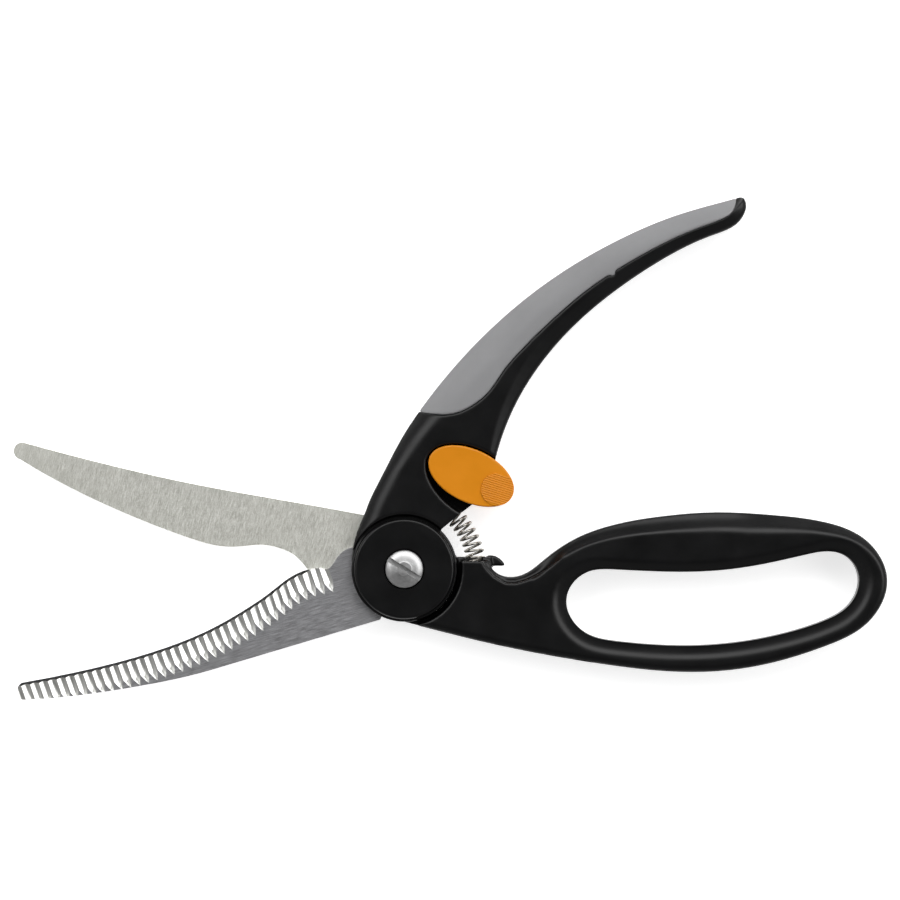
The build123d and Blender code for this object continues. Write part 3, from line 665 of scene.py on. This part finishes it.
def spring_angle(turn):
    """How far round the pivot the wire is after so many turns; the end turns lie close together."""
    closed = math.degrees(2 * WIRE_RADIUS * END_SPACING / ARC_RADIUS)
    total = SPRING_ANGLES[1] - SPRING_ANGLES[0]
    pitch = (total - 2 * END_TURNS * closed) / WORKING_TURNS
    if turn < END_TURNS:
        return SPRING_ANGLES[0] + turn * closed
    if turn < END_TURNS + WORKING_TURNS:
        return SPRING_ANGLES[0] + END_TURNS * closed + (turn - END_TURNS) * pitch
    return SPRING_ANGLES[1] - (2 * END_TURNS + WORKING_TURNS - turn) * closed


def spring_point(turn):
    """Middle of the wire after so many turns, on a coil whose own axis is an arc about the pivot."""
    around = math.radians(spring_angle(turn))
    phase = 2 * math.pi * turn + START_TURN
    radius = ARC_RADIUS + COIL_RADIUS * math.cos(phase)
    height = MIDDLE + COIL_RADIUS * math.sin(phase)
    return Vector((radius * math.cos(around), radius * math.sin(around), height))


def wire_mesh(name, line):
    """A round wire along a line of points, closed at both ends."""
    last = len(line) - 1
    verts, faces = [], []
    side = Vector((0, 0, 1))
    for i, point in enumerate(line):
        along = (line[min(i + 1, last)] - line[max(i - 1, 0)]).normalized()
        side = (side - along * side.dot(along)).normalized()
        other = along.cross(side)
        for k in range(SIDES):
            a = 2 * math.pi * k / SIDES
            verts.append(point + (side * math.cos(a) + other * math.sin(a)) * WIRE_RADIUS)
        if i:
            low = (i - 1) * SIDES
            for k in range(SIDES):
                n = (k + 1) % SIDES
                faces.append((low + k, low + n, low + SIDES + n, low + SIDES + k))
    faces.append(tuple(reversed(range(SIDES))))
    faces.append(tuple(range(last * SIDES, (last + 1) * SIDES)))
    mesh = bpy.data.meshes.new(name)
    mesh.from_pydata(verts, [], faces)
    return mesh


def spring():
    turns = WORKING_TURNS + 2 * END_TURNS
    count = int(turns * STEPS)
    mesh = wire_mesh("return_spring_coil", [spring_point(turns * i / count) for i in range(count + 1)])
    shade_smooth(mesh)
    mesh.materials.append(WIRE)
    piece = new_object("return_spring_coil", mesh)
    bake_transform(piece)
    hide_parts("return_spring")


# ------------------------------------------------------------------ CAD nodes that keep their shape
NODE_FINISHES = {
    "smooth_blade": BLADE,
    "front_pivot_cap": BLACK,
    "rear_pivot_cap": BLACK,
    "pivot_bush": BRONZE,
    "pivot_washer": SCREW,
    "pivot_screw": SCREW,
    "pivot_nut": SCREW,
    "upper_spring_cup": WIRE,
    "lower_spring_cup": WIRE,
    "latch_front_plate": ORANGE,
    "latch_rear_plate": ORANGE,
    "latch_lever": ORANGE,
    "latch_pin": WIRE,
    "latch_detent": WIRE,
}


def finish_nodes():
    for name, material in NODE_FINISHES.items():
        node = NODES[name]
        node.data.materials.clear()
        node.data.materials.append(material)


# ------------------------------------------------------------------ stage, lights, camera
LOW, HIGH = (Vector(corner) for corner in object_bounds())
CENTRE = (LOW + HIGH) / 2
LENS_HEIGHT = 2.4
SENSOR_WIDTH = 36  # millimetres, as the lens
FAR_CLIP = 20
LENS_SHIFT = Vector((0, -0.42 * MM, 0))  # where the picture's middle is, from the middle of the object
FRAME_SHARE = 0.9695  # of the picture's width that the object fills
FLOOR_REACH = 3.0
FLOOR_GLOW = 0.72


def floor():
    corners = [(x * FLOOR_REACH, y * FLOOR_REACH, 0) for x, y in ((-1, -1), (1, -1), (1, 1), (-1, 1))]
    mesh = bpy.data.meshes.new("table")
    mesh.from_pydata(corners, [], [(0, 1, 2, 3)])
    finish = Finish("pale table", (0.76, 0.76, 0.76), 0.9, specular=0.1)
    finish.shader.inputs["Emission Color"].default_value = (1, 1, 1, 1)
    finish.shader.inputs["Emission Strength"].default_value = FLOOR_GLOW
    finish.vary_roughness(finish.noise(40), 0.85, 0.95)
    mesh.materials.append(finish.material)
    new_object("table", mesh)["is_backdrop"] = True


# The studio: dim all round and dimmer overhead, with one long softbox high up on the far side
SKY = ((0.0, 0.34), (0.75, 0.30), (0.92, 0.10), (1.0, 0.10))  # brightness by the sine of the height
SOFTBOX = ((0.0, 0.0), (0.48, 0.0), (0.58, 1.0), (0.84, 1.0), (0.92, 0.0))  # its share by the same
SOFTBOX_BRIGHTNESS = 3.2
SOFTBOX_AZIMUTH = math.radians(80)
SOFTBOX_EDGE = (-0.08, 0.10)  # its ends, by the level part of the direction along that azimuth


def studio_sky():
    world = bpy.data.worlds.new("studio")
    world.use_nodes = True
    tree = world.node_tree

    def math_node(operation, first, second):
        node = tree.nodes.new("ShaderNodeMath")
        node.operation = operation
        for socket, value in zip(node.inputs, (first, second)):
            if isinstance(value, (int, float)):
                socket.default_value = value
            else:
                tree.links.new(value, socket)
        return node.outputs["Value"]

    def ramp_node(value, stops):
        node = tree.nodes.new("ShaderNodeValToRGB")
        elements = node.color_ramp.elements
        while len(elements) < len(stops):
            elements.new(0.5)
        for element, (place, level) in zip(elements, stops):
            element.position = place
            element.color = (level, level, level, 1)
        tree.links.new(value, node.inputs["Fac"])
        return node.outputs["Color"]

    direction = tree.nodes.new("ShaderNodeTexCoord").outputs["Generated"]
    parts = tree.nodes.new("ShaderNodeSeparateXYZ")
    tree.links.new(direction, parts.inputs["Vector"])
    height = parts.outputs["Z"]
    along = tree.nodes.new("ShaderNodeVectorMath")
    along.operation = "DOT_PRODUCT"
    along.inputs[1].default_value = (math.cos(SOFTBOX_AZIMUTH), math.sin(SOFTBOX_AZIMUTH), 0)
    tree.links.new(direction, along.inputs[0])
    end = tree.nodes.new("ShaderNodeMapRange")
    end.inputs["From Min"].default_value, end.inputs["From Max"].default_value = SOFTBOX_EDGE
    tree.links.new(along.outputs["Value"], end.inputs["Value"])
    box = math_node("MULTIPLY", ramp_node(height, SOFTBOX), end.outputs["Result"])
    box = math_node("MULTIPLY", box, SOFTBOX_BRIGHTNESS)
    background = tree.nodes["Background"]
    background.inputs["Color"].default_value = (1, 1, 1, 1)
    tree.links.new(math_node("ADD", box, ramp_node(height, SKY)), background.inputs["Strength"])
    bpy.context.scene.world = world


def area_light(name, azimuth, elevation, distance, size, power):
    data = bpy.data.lights.new(name, "AREA")
    data.shape = "SQUARE"
    data.size = size
    data.energy = power
    lamp = bpy.data.objects.new(name, data)
    bpy.context.scene.collection.objects.link(lamp)
    a, e = math.radians(azimuth), math.radians(elevation)
    way = Vector((math.cos(a) * math.cos(e), math.sin(a) * math.cos(e), math.sin(e)))
    lamp.location = CENTRE + way * distance
    lamp.rotation_euler = way.to_track_quat("Z", "Y").to_euler()


def lights():
    studio_sky()
    area_light("fill", azimuth=70, elevation=52, distance=1.3, size=0.9, power=0.8)


def camera():
    data = bpy.data.cameras.new("camera")
    distance = LENS_HEIGHT - MIDDLE
    data.sensor_width = SENSOR_WIDTH
    data.lens = SENSOR_WIDTH * distance * FRAME_SHARE / (HIGH.x - LOW.x)
    data.clip_end = FAR_CLIP
    lens = bpy.data.objects.new("camera", data)
    bpy.context.scene.collection.objects.link(lens)
    lens.location = (CENTRE.x + LENS_SHIFT.x, CENTRE.y + LENS_SHIFT.y, LENS_HEIGHT)
    bpy.context.scene.camera = lens
    bpy.context.scene.view_settings.view_transform = "Standard"


finish_nodes()
handles()
fluted_blade()
spring()
floor()
lights()
camera()
